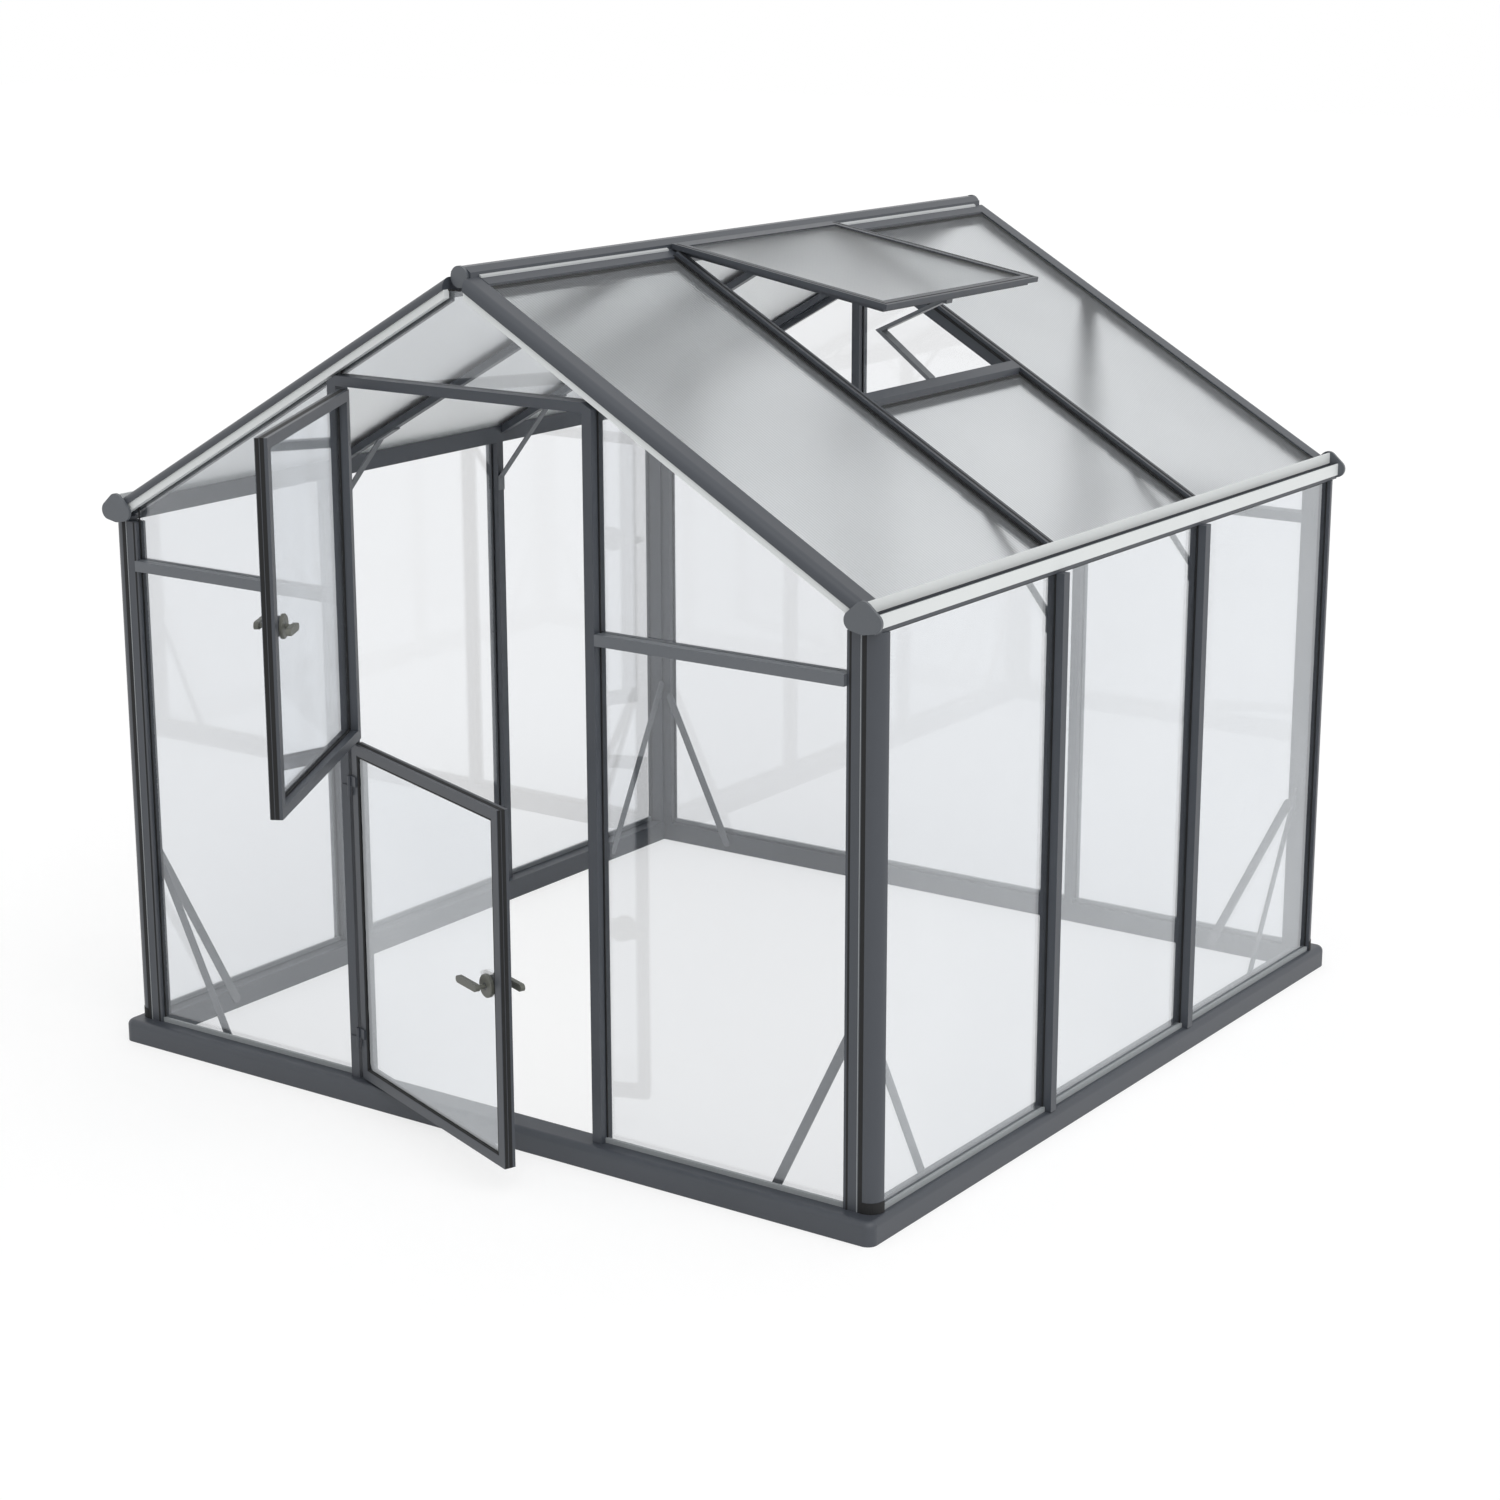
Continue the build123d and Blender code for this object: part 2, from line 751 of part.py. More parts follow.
# Fixed halves of the hinges, with the pins
with BuildPart() as door_hinge_pins:
    for name, angle, bottom, top in leaves:
        for z in hinge_heights(bottom, top):
            with BuildSketch(Plane.XY.offset(z)):
                with Locations((hinge_x, hinge_y)):
                    Circle(knuckle_radius)
            extrude(amount=-knuckle_height)
            with BuildSketch(Plane.XY.offset(z)):
                with Locations((hinge_x, hinge_y)):
                    Circle(pin_radius)
            extrude(amount=pin_height)
            box(
                (hinge_x - hinge_plate_length, front_y - hinge_plate_thickness, z - knuckle_height),
                (hinge_x, front_y, z),
            )
keep("door_hinge_pins", door_hinge_pins)

for name, angle, bottom, top in leaves:
    handle_x = leaf_end - stile_width - handle_stile_gap - rosette_radius
    handle_z = (bottom + top) / 2

    with BuildPart(leaf_plane(angle)) as stiles:
        box((leaf_start, leaf_outer, bottom), (leaf_start + stile_width, leaf_inner, top))
        box((leaf_end - stile_width, leaf_outer, bottom), (leaf_end, leaf_inner, top))
    keep(f"{name}_stiles", stiles)

    rail_start = leaf_start + stile_width
    rail_end = leaf_end - stile_width
    with BuildPart(leaf_plane(angle)) as rails:
        box((rail_start, leaf_outer, bottom), (rail_end, leaf_inner, bottom + stile_width))
        box((rail_start, leaf_outer, top - stile_width), (rail_end, leaf_inner, top))
    keep(f"{name}_rails", rails)

    with BuildPart(leaf_plane(angle)) as pane:
        box(
            (rail_start, pane_outer, bottom + stile_width),
            (rail_end, pane_inner, top - stile_width),
        )
        with BuildSketch(across_leaf(angle, handle_x, pane_inner, handle_z)):
            Circle(spindle_hole_radius)
        extrude(amount=glass_thickness, mode=Mode.SUBTRACT)
    keep(f"{name}_glass", pane)

    # Moving halves of the hinges and the two rosettes that carry the spindle
    with BuildPart(leaf_plane(angle)) as fittings:
        for z in hinge_heights(bottom, top):
            with BuildSketch(leaf_plane(angle, z + knuckle_gap)):
                Circle(knuckle_radius)
            extrude(amount=knuckle_height)
            box(
                (0, leaf_outer - hinge_plate_thickness, z + knuckle_gap),
                (hinge_plate_length, leaf_outer, z + knuckle_gap + knuckle_height),
            )
            with BuildSketch(leaf_plane(angle, z + knuckle_gap)):
                Circle(pin_radius + pin_clearance)
            extrude(amount=knuckle_height, mode=Mode.SUBTRACT)
        rosettes = ((pane_outer, leaf_outer - rosette_proud), (leaf_inner + rosette_proud, pane_inner))
        for inside, outside in rosettes:
            with BuildSketch(across_leaf(angle, handle_x, inside, handle_z)):
                Circle(rosette_radius)
                Circle(spindle_radius + spindle_clearance, mode=Mode.SUBTRACT)
            extrude(amount=inside - outside)
    keep(f"{name}_fittings", fittings)

    # Handle: spindle with an outer lever towards the hinge and an inner one towards the free edge
    outer_face = leaf_outer - lever_standoff
    inner_face = leaf_inner + lever_standoff
    with BuildPart() as handle:
        with BuildSketch(across_leaf(angle, handle_x, inner_face, handle_z)):
            Circle(spindle_radius)
        extrude(amount=inner_face - outer_face)
        with BuildSketch(across_leaf(angle, handle_x, outer_face, handle_z)):
            with Locations((0, 0), (lever_radius - outer_lever_length, 0)):
                Circle(lever_radius)
            make_hull()
        extrude(amount=lever_thickness)
        with BuildSketch(across_leaf(angle, handle_x, inner_face, handle_z)):
            with Locations((0, 0), (inner_lever_length - lever_radius, 0)):
                Circle(lever_radius)
            make_hull()
        extrude(amount=-lever_thickness)
    keep(f"{name}_handle", handle)
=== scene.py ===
# %% [markdown]
# # A small greenhouse, dressed
# The solid pieces of the greenhouse come ready made, in metres, with the door side at the front.
# This lesson gives every piece its finish, adds the seals and the painted shade of grooves and slots that
# are too fine for the solids, and sets up a white studio with a camera where the photographer stood.

# %% Open the solids
import json
from math import atan2, cos, pi, radians, sin

import bpy
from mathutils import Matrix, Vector

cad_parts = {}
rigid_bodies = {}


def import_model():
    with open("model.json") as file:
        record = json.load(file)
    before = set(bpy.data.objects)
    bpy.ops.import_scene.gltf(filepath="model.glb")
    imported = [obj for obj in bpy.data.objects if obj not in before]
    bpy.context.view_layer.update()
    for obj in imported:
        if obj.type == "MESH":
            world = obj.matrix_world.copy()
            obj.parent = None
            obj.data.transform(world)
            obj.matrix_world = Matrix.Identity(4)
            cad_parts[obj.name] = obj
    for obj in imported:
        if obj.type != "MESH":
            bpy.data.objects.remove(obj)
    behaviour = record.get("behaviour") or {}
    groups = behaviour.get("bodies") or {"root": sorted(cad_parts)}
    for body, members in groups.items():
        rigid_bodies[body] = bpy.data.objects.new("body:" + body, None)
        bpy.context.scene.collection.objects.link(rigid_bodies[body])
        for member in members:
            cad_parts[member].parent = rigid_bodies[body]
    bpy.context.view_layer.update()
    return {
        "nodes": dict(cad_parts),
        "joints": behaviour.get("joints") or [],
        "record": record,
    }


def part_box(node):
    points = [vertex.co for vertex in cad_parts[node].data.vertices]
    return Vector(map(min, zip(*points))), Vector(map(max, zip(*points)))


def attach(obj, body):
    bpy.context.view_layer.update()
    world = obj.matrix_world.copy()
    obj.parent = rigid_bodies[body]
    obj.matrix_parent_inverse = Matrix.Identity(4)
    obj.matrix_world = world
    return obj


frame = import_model()
nodes = frame["nodes"]

# %% [markdown]
# ## Shader sums written as sums
# A finish is a small network of nodes. Writing `0.4 + 0.1 * grain` is easier to read than wiring two
# boxes by hand, so this class wraps one socket and turns each operator into a Math node. The method
# `make` adds every kind of node: its settings come first, because they decide which sockets exist.


# %% A wrapper for sockets
class Wire:
    """One output socket of a node, which can be added, multiplied and fed to other nodes."""

    def __init__(self, tree, socket):
        self.tree = tree
        self.socket = socket

    @staticmethod
    def make(tree, kind, settings=None, sockets=None, out=0):
        """A new node, as a wire from one of its outputs if it has any."""
        node = tree.nodes.new(kind)
        for key, value in (settings or {}).items():
            setattr(node, key, value)
        for key, value in (sockets or {}).items():
            if isinstance(value, Wire):
                tree.links.new(value.socket, node.inputs[key])
            else:
                node.inputs[key].default_value = value
        return Wire(tree, node.outputs[out]) if node.outputs else None

    def sum_with(self, operation, first, second):
        return Wire.make(self.tree, "ShaderNodeMath", {"operation": operation}, {0: first, 1: second})

    def __add__(self, other):
        return self.sum_with("ADD", self, other)

    def __radd__(self, other):
        return self.sum_with("ADD", other, self)

    def __mul__(self, other):
        return self.sum_with("MULTIPLY", self, other)

    def __rmul__(self, other):
        return self.sum_with("MULTIPLY", other, self)

    def __pow__(self, other):
        return self.sum_with("POWER", self, other)

    def sine(self):
        return self.sum_with("SINE", self, 0.0)

    def larger(self, other):
        return self.sum_with("MAXIMUM", self, other)


def srgb(red, green, blue):
    """A colour as a screen shows it, 0 to 255, in light values, by the curve of the sRGB standard."""
    shares = [level / 255 for level in (red, green, blue)]
    linear = [s / 12.92 if s <= 0.04045 else ((s + 0.055) / 1.055) ** 2.4 for s in shares]
    return (*linear, 1.0)


print("a mid grey of 128 is", round(srgb(128, 128, 128)[0], 3), "in light values")

# %% [markdown]
# ## Helpers for finishes
# Each finish starts from an empty tree and ends in an output. Object coordinates are metres here, so a
# noise scale of 400 means grains of a few millimetres, whichever piece wears the finish.


# %% Start and end a finish
def blank_finish(name):
    """A new material, its empty tree and the place on the piece in metres."""
    material = bpy.data.materials.new(name)
    material.use_nodes = True
    tree = material.node_tree
    tree.nodes.clear()
    place = Wire.make(tree, "ShaderNodeTexCoord", out="Object")
    return material, tree, place


def show(tree, shader):
    """The output of a finish."""
    Wire.make(tree, "ShaderNodeOutputMaterial", None, {"Surface": shader})


def noise(tree, place, scale, detail=2.0):
    """A cloudy value between 0 and 1."""
    return Wire.make(tree, "ShaderNodeTexNoise", None, {"Vector": place, "Scale": scale, "Detail": detail})


def blend(tree, share, first, second):
    """A colour between two colours. The Mix node keeps its sockets for colours at 6, 7 and out 2."""
    colours = {0: share, 6: first, 7: second}
    return Wire.make(tree, "ShaderNodeMix", {"data_type": "RGBA"}, colours, out=2)


def bump(tree, height, strength, distance):
    """A surface that rises and falls with a value."""
    relief = {"Height": height, "Strength": strength, "Distance": distance}
    return Wire.make(tree, "ShaderNodeBump", None, relief)


print("helpers for finishes are ready")

# %% [markdown]
# ## Coated and moulded finishes
# The bars are aluminium under a satin anthracite powder coat, which has a fine grain like orange peel and
# is never quite one tone. The same recipe, with other colours and grains, gives a lighter copy of the bar
# coat for the gable rails, a painted highlight for their lit tops, the moulded caps, the handles, the
# plain flat bars of the braces, the strips and beads, and one black that is the rubber of the seals and
# also the painted shade in grooves, slots and gutters and the painted shadow at the feet of the posts.

# %% One recipe for coats
drift_scale, drift_detail = 3.0, 3.0
drift_share, grain_share = 0.75, 0.25
rough_spread = 0.12
grain_depth = 0.0006


def coat(name, dark, light, rough, grain_scale, grain_strength):
    """A coat that drifts between two tones and has a fine grain."""
    material, tree, place = blank_finish(name)
    drift = noise(tree, place, drift_scale, drift_detail)
    grain = noise(tree, place, grain_scale)
    show(tree, Wire.make(tree, "ShaderNodeBsdfPrincipled", None, {
        "Base Color": blend(tree, drift_share * drift + grain_share * grain, dark, light),
        "Roughness": rough - rough_spread / 2 + rough_spread * drift,
        "Normal": bump(tree, grain, grain_strength, grain_depth),
    }))
    return material


print("the grain of a coat is", grain_depth * 1000, "mm deep")

# %% [markdown]
# Each coat has its darker and lighter tone, its roughness, and the scale and strength of its grain.

# %% Coats
anthracite = coat("anthracite_powder_coat", srgb(56, 60, 66), srgb(69, 73, 80), 0.42, 520.0, 0.12)
# A lighter copy of the bar coat for the gable rails: a painted highlight for their lit tops.
painted_lit_rail = coat("painted_lit_rail_coat", srgb(88, 92, 97), srgb(102, 106, 111), 0.4, 520.0, 0.1)
moulded_cap = coat("moulded_cap", srgb(82, 86, 91), srgb(94, 98, 103), 0.38, 300.0, 0.06)
moulded_handle = coat("moulded_handle", srgb(84, 86, 80), srgb(104, 105, 98), 0.45, 260.0, 0.08)
plain_bar = coat("plain_flat_bar", srgb(92, 95, 99), srgb(110, 113, 117), 0.4, 700.0, 0.1)
grey_bead = coat("grey_bead", srgb(136, 140, 142), srgb(152, 156, 158), 0.5, 240.0, 0.05)
pale_strip = coat("pale_sealing_strip", srgb(210, 213, 213), srgb(224, 227, 227), 0.5, 240.0, 0.05)
dull_strip = coat("dull_ridge_strip", srgb(176, 179, 180), srgb(192, 195, 196), 0.5, 240.0, 0.05)
# One black for the rubber seals and lips, and for painted shade and shadow in grooves, slots, gutters and
# at the post feet.
black_rubber_and_painted_shade = coat("black_rubber_and_painted_shade", srgb(6, 7, 8), srgb(14, 15, 17), 0.72, 420.0, 0.15)
print("coats:", len(bpy.data.materials))

# %% [markdown]
# ## Clear glass
# Float glass lets most light straight through, takes a little of it away, and mirrors more the flatter
# one looks along it. Both faces of a pane do this alike, so the mirror's share comes from how far the
# face is turned away, raised to a power. A very faint cloud keeps the panes from looking like nothing
# at all.

# %% Glass finish
straight_mirror, mirror_power = 0.06, 2.5
even_facing = 0.5
film_rough = 0.03
least_mirror, cloud_mirror = 0.9, 0.2
glass_cloud_scale = 1.6
glass_tint = (0.942, 0.945, 0.95, 1.0)

glass, tree, place = blank_finish("clear_float_glass")
facing = Wire.make(tree, "ShaderNodeLayerWeight", None, {"Blend": even_facing}, out="Facing")
edge_mirror = straight_mirror + (1 - straight_mirror) * facing ** mirror_power
cloud = noise(tree, place, glass_cloud_scale)
clear = Wire.make(tree, "ShaderNodeBsdfTransparent", None, {"Color": glass_tint})
mirror_film = Wire.make(tree, "ShaderNodeBsdfPrincipled", None, {
    "Base Color": blend(tree, cloud, srgb(232, 236, 240), srgb(244, 247, 250)),
    "Metallic": 1.0,
    "Roughness": film_rough,
})
show(tree, Wire.make(tree, "ShaderNodeMixShader", None, {
    0: edge_mirror * (least_mirror + cloud_mirror * cloud),
    1: clear,
    2: mirror_film,
}))
print("glass nodes:", len(tree.nodes))

# %% [markdown]
# ## Twin-wall roof sheet
# The roof is not glass: it is a milky double sheet with thin walls inside, which run down the slope about
# a centimetre apart. Light comes through it blurred, so the bars below show as soft dark bands. A rough
# clear shader blurs what is behind, and a wave along the greenhouse draws the ribs.

# %% Sheet finish
rib_pitch = 0.0105
rib_strength, rib_depth = 0.4, 0.0012
sheet_cloud_scale, sheet_cloud_detail = 2.2, 3.0
cloud_share, rib_share = 0.35, 0.65
sheet_rough, rib_rough = 0.34, 0.08
sheet_bending, sheet_clearness = 1.06, 0.93

sheet, tree, place = blank_finish("twin_wall_sheet")
along = Wire.make(tree, "ShaderNodeSeparateXYZ", None, {"Vector": place}, out="Y")
rib = 0.5 + 0.5 * (along * (2 * pi / rib_pitch)).sine()
cloud = noise(tree, place, sheet_cloud_scale, sheet_cloud_detail)
tone = cloud_share * cloud + rib_share * rib
show(tree, Wire.make(tree, "ShaderNodeBsdfPrincipled", None, {
    "Base Color": blend(tree, tone, srgb(208, 210, 211), srgb(243, 245, 246)),
    "Roughness": sheet_rough + rib_rough * rib,
    "IOR": sheet_bending,
    "Transmission Weight": sheet_clearness,
    "Normal": bump(tree, rib, rib_strength, rib_depth),
}))
print("ribs every", rib_pitch * 1000, "mm")

# %% [markdown]
# ## Finishes go on the pieces
# The record of the part says which slot each piece belongs to, so one table from slot to finish dresses
# nearly every solid. A few pieces differ from their slot: the beads at the foot of the glass and the
# strips beside the ridge are greyer than the other strips, and the gable rails wear a lighter copy of the
# bar coat, a painted highlight for their lit tops.

# %% Dress the solids
finish_of_slot = {
    "anthracite_frame": anthracite,
    "clear_glass": glass,
    "twin_wall_sheet": sheet,
    "pale_seal": pale_strip,
    "brace_metal": plain_bar,
    "handle_plastic": moulded_handle,
    "cap_plastic": moulded_cap,
}
finish_of_node = {
    "sill_strips": grey_bead,
    "ridge_strips": dull_strip,
    # Painted highlight: the gable rails get the lighter copy of the bar coat.
    "front_rails": painted_lit_rail,
    "back_rails": painted_lit_rail,
}
slot_of_node = {row["node"]: row["material_slot"] for row in frame["record"]["subparts"]}
for name, piece in nodes.items():
    piece.data.materials.clear()
    piece.data.materials.append(finish_of_node.get(name, finish_of_slot[slot_of_node[name]]))
print("dressed:", len(nodes))

# %% [markdown]
# ## Fine strips
# Seals, and the painted shade in grooves and slots, are long thin strips. A strip is a block spanned by
# three edges from one corner, which works just as well upright as along the slope or on an open door
# leaf. Many strips share one mesh, and the mesh moves with the body that carries it.


# %% Make pieces
def add_piece(name, points, faces, finish, body):
    """A mesh with one finish, on the body that carries it."""
    mesh = bpy.data.meshes.new(name)
    mesh.from_pydata([tuple(point) for point in points], [], faces)
    mesh.materials.append(finish)
    piece = bpy.data.objects.new(name, mesh)
    bpy.context.scene.collection.objects.link(piece)
    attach(piece, body)
    print(name, "has", len(faces), "faces")


block_sides = ((3, 2, 1, 0), (4, 5, 6, 7), (0, 1, 5, 4), (1, 2, 6, 5), (2, 3, 7, 6), (3, 0, 4, 7))


def strips(name, blocks, finish, body):
    """One piece made of many blocks, each given by a corner and three edges."""
    points = []
    faces = []
    for corner, u, v, w in blocks:
        start = len(points)
        corner, u, v, w = (Vector(value) for value in (corner, u, v, w))
        points += [corner, corner + u, corner + u + v, corner + v]
        points += [corner + w, corner + u + w, corner + u + v + w, corner + v + w]
        left_handed = u.cross(v).dot(w) < 0
        for side in block_sides:
            face = tuple(start + index for index in side)
            faces.append(face[::-1] if left_handed else face)
    add_piece(name, points, faces, finish, body)


def upright(low, high):
    """A block square to the axes, between two corners."""
    size = [top - bottom for bottom, top in zip(low, high)]
    return (low, (size[0], 0, 0), (0, size[1], 0), (0, 0, size[2]))


print("a strip has", len(block_sides), "sides")

# %% [markdown]
# ## Seals around the wall panes
# Every pane sits in a black rubber seal, which shows as a thin dark line along its bars. The outlines of
# the panes are read from the glass itself: points that hang together are one pane, and the flat side that
# looks outwards gives its corners. The lower edges stand in the grey beads already, and the sloping
# edges lie behind the pale strips under the rafters, so only level and upright edges get a seal.

# %% Read the panes
digits_kept = 5


def panes_of(node):
    """The corner points of each separate pane of a glass piece."""
    mesh = nodes[node].data
    spots = [tuple(round(value, digits_kept) for value in vertex.co) for vertex in mesh.vertices]
    group = {spot: spot for spot in spots}

    def root(spot):
        while group[spot] != spot:
            spot = group[spot]
        return spot

    for face in mesh.polygons:
        first = root(spots[face.vertices[0]])
        for index in face.vertices:
            group[root(spots[index])] = first
    panes = {}
    for spot in sorted(group):
        panes.setdefault(root(spot), []).append(spot)
    return list(panes.values())


print("panes at the front:", len(panes_of("front_glass")))

# %% Seal the panes
seal_width = 0.003
seal_depth = 0.003
same_place = 1e-4
above_foot = 1e-3


def seal_blocks(corners, axis, side):
    """Seals along the level and upright edges of one pane, on the side that looks outwards."""
    face = max(side * corner[axis] for corner in corners) * side
    flat = [Vector(corner) for corner in corners if abs(corner[axis] - face) < same_place]
    other = 1 - axis
    middle = sum(flat, Vector()) / len(flat)
    flat.sort(key=lambda corner: atan2(corner.z - middle.z, corner[other] - middle[other]))
    foot = min(corner.z for corner in flat)
    outward = Vector((0, 0, 0))
    outward[axis] = side * seal_depth
    blocks = []
    for start, end in zip(flat, flat[1:] + flat[:1]):
        run = end - start
        level = abs(run.z) < same_place
        plumb = abs(run[other]) < same_place
        if (level and start.z > foot + above_foot) or plumb:
            inward = Vector((0, 0, 0))
            if level:
                inward.z = -seal_width
            else:
                inward[other] = seal_width if middle[other] > start[other] else -seal_width
            blocks.append((start, run, inward, outward))
    return blocks


walls = {"front_glass": (1, -1), "back_glass": (1, 1), "right_glass": (0, 1), "left_glass": (0, -1)}
wall_seals = []
for node, (axis, side) in walls.items():
    for corners in panes_of(node):
        wall_seals += seal_blocks(corners, axis, side)
strips("wall_pane_seals", wall_seals, black_rubber_and_painted_shade, "greenhouse")

# %% [markdown]
# ## Grooves and feet of the corner posts
# The posts are extrusions: beside the big round corner their gable side has two glazing grooves with a
# thin grey bead between them. The shade in the grooves is painted as black strips, and the beads are grey
# strips, all a fraction of a millimetre proud of the solid, measured from the post's inner edge. A black
# thin wall that follows the post around the foot of the round corner and the long side is a painted
# shadow where the post stands on the base.

# %% Post grooves
post_low, post_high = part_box("corner_post_front_right")
mid_y = sum(corner.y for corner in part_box("base_right")) / 2
skin = 0.0005
groove_shade_spans = ((0.007, 0.012), (0.041, 0.052))
bead_spans = ((0.0365, 0.0385),)


def post_lines(spans):
    """Lines up the gable side of all four posts, given by their distances from the post's inner edge."""
    lines = []
    front = (post_low.y - skin, post_low.y)
    back = tuple(2 * mid_y - y for y in reversed(front))
    for side in (1, -1):
        for near, far in spans:
            x_low, x_high = sorted((side * (post_low.x + near), side * (post_low.x + far)))
            for y_low, y_high in (front, back):
                lines.append(upright((x_low, y_low, post_low.z), (x_high, y_high, post_high.z)))
    return lines


# Black strips paint the shade in the glazing grooves.
strips("post_groove_painted_shade", post_lines(groove_shade_spans), black_rubber_and_painted_shade, "greenhouse")
strips("post_beads", post_lines(bead_spans), grey_bead, "greenhouse")

# %% Painted shadow at the post feet
# A thin black wall around the foot of each post paints the shadow where it stands on the base.
post_radius = 0.036
foot_shadow_height = 0.028
foot_shadow_wall = 0.0012
arc_steps = 10
turn_centre = Vector((post_high.x - post_radius, post_low.y + post_radius))
foot_shadow_line = []
for step in range(arc_steps + 1):
    angle = -pi / 2 + step / arc_steps * pi / 2
    outward = Vector((cos(angle), sin(angle)))
    foot_shadow_line.append((turn_centre + post_radius * outward, outward))
foot_shadow_line.append((Vector((post_high.x, post_high.y)), Vector((1, 0))))
foot_shadow_blocks = []
for (first, first_out), (second, second_out) in zip(foot_shadow_line, foot_shadow_line[1:]):
    middle_out = (first_out + second_out) / 2
    for x_side in (1, -1):
        for y_side, y_shift in ((1, 0), (-1, 2 * mid_y)):
            start, end = (
                Vector((x_side * point.x, y_shift + y_side * point.y, post_low.z))
                for point in (first, second)
            )
            wall = Vector((x_side * middle_out.x, y_side * middle_out.y, 0)) * foot_shadow_wall
            foot_shadow_blocks.append((start, end - start, wall, (0, 0, foot_shadow_height)))
strips("post_foot_painted_shadow", foot_shadow_blocks, black_rubber_and_painted_shade, "greenhouse")

# %% [markdown]
# ## Lines of the roof
# Each roof bar is two walls with a slot between them, whose shade is painted as a black strip, and a
# black lip on both sides presses on the sheet. The gutters look black inside because they are deep and
# narrow, and black strips paint that shade. The vent's cover has a slot around its edge too, with its
# shade painted black.

# %% Painted shade in the roof slots, and the lips on the sheet
apex_height = 2.173
edge_x, edge_height = 1.160, 1.510
roof_drop = apex_height - edge_height
fall = Vector((edge_x, 0, -roof_drop)).normalized()
square = Vector((-fall.z, 0, fall.x))
stud_low, stud_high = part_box("right_wall_studs")
bar_width, bar_proud = 0.027, 0.015
bay_lines = (stud_low.y + bar_width / 2, stud_high.y - bar_width / 2)
bar_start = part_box("right_roof_bars")[0].x
bar_top = apex_height - bar_start * roof_drop / edge_x
slot_width = 0.008
lip_width, lip_height = 0.005, 0.006
slot_shade_blocks = []
sheet_seals = []
for y in bay_lines:
    for side in (1, -1):
        start = Vector((side * bar_start, y - slot_width / 2, bar_top))
        run = Vector((side * fall.x, 0, fall.z)) * ((edge_x - bar_start) / fall.x)
        up = Vector((side * square.x, 0, square.z))
        # A black strip in each bar's slot paints its shade.
        slot_shade_blocks.append((start, run, (0, slot_width, 0), up * skin))
        for lip_y in (y - bar_width / 2 - lip_width, y + bar_width / 2):
            on_sheet = Vector((side * bar_start, lip_y, bar_top)) - bar_proud * up
            sheet_seals.append((on_sheet, run, (0, lip_width, 0), up * lip_height))
strips("roof_bar_slot_shade", slot_shade_blocks, black_rubber_and_painted_shade, "greenhouse")
strips("roof_sheet_seals", sheet_seals, black_rubber_and_painted_shade, "greenhouse")

# %% Painted shade in the gutters
gutter_inner, gutter_outer = 1.166, 1.183
gutter_floor, gutter_top = 1.452, 1.474
eave_low, eave_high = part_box("eave_right")
# Black strips on the floor and inner wall of each gutter paint the shade inside it.
gutter_shade_blocks = []
for side in (1, -1):
    floor_x = sorted((side * gutter_inner, side * gutter_outer))
    wall_x = sorted((side * gutter_inner, side * (gutter_inner + skin)))
    for x_pair, top in ((floor_x, gutter_floor + skin), (wall_x, gutter_top)):
        low = (x_pair[0], eave_low.y, gutter_floor)
        gutter_shade_blocks.append(upright(low, (x_pair[1], eave_high.y, top)))
strips("gutter_painted_shade", gutter_shade_blocks, black_rubber_and_painted_shade, "greenhouse")

# %% Painted shade in the vent slots
vent_open = radians(20)
vent_angle = atan2(roof_drop, edge_x) - vent_open
vent_along = Vector((cos(vent_angle), 0, -sin(vent_angle)))
vent_up = Vector((sin(vent_angle), 0, cos(vent_angle)))
across = Vector((0, 1, 0))
vent_hinge_x, vent_seat = 0.032, 0.008
vent_length, vent_width, cover_depth = 0.661, 0.742, 0.013
hinge_z = apex_height - vent_hinge_x * roof_drop / edge_x - vent_seat / fall.x
vent_origin = Vector((vent_hinge_x, mid_y - vent_width / 2, hinge_z)) + cover_depth * vent_up
slot_in, vent_slot = 0.009, 0.004
# Black strips in the slot around the cover paint its shade.
vent_shade_blocks = []
for near in (slot_in, vent_width - slot_in - vent_slot):
    vent_shade_blocks.append((
        vent_origin + slot_in * vent_along + near * across,
        (vent_length - 2 * slot_in) * vent_along,
        vent_slot * across,
        skin * vent_up,
    ))
vent_shade_blocks.append((
    vent_origin + (vent_length - slot_in - vent_slot) * vent_along + slot_in * across,
    vent_slot * vent_along,
    (vent_width - 2 * slot_in) * across,
    skin * vent_up,
))
strips("vent_slot_shade", vent_shade_blocks, black_rubber_and_painted_shade, "greenhouse")

# %% [markdown]
# ## Seals of the door leaves
# Each leaf hangs on its own hinge line and stands open by its own angle, both of which the joints tell.
# In the leaf's own frame, with s from the hinge, d from the outer side inwards and z up, the seals are
# plain blocks around the pane on both sides, and black blocks of painted shade lie in the slots of the
# free edge and the top edge.

# %% Leaf seals
leaf_start, leaf_end = 0.006, 0.743
pane_outer, pane_inner = 0.010, 0.014
top_edge_slot_shade = (0.015, 0.027)
free_edge_slot_shade = ((0.008, 0.0165), (0.0185, 0.028))
leaf_seal = 0.005


def leaf_block(leaf, s_pair, d_pair, z_pair):
    """A block in the frame of a leaf, which is its hinge and the directions of s and d."""
    hinge, s_axis, d_axis = leaf
    corner = hinge + s_pair[0] * s_axis + d_pair[0] * d_axis
    corner.z = z_pair[0]
    return (
        corner,
        (s_pair[1] - s_pair[0]) * s_axis,
        (d_pair[1] - d_pair[0]) * d_axis,
        (0, 0, z_pair[1] - z_pair[0]),
    )


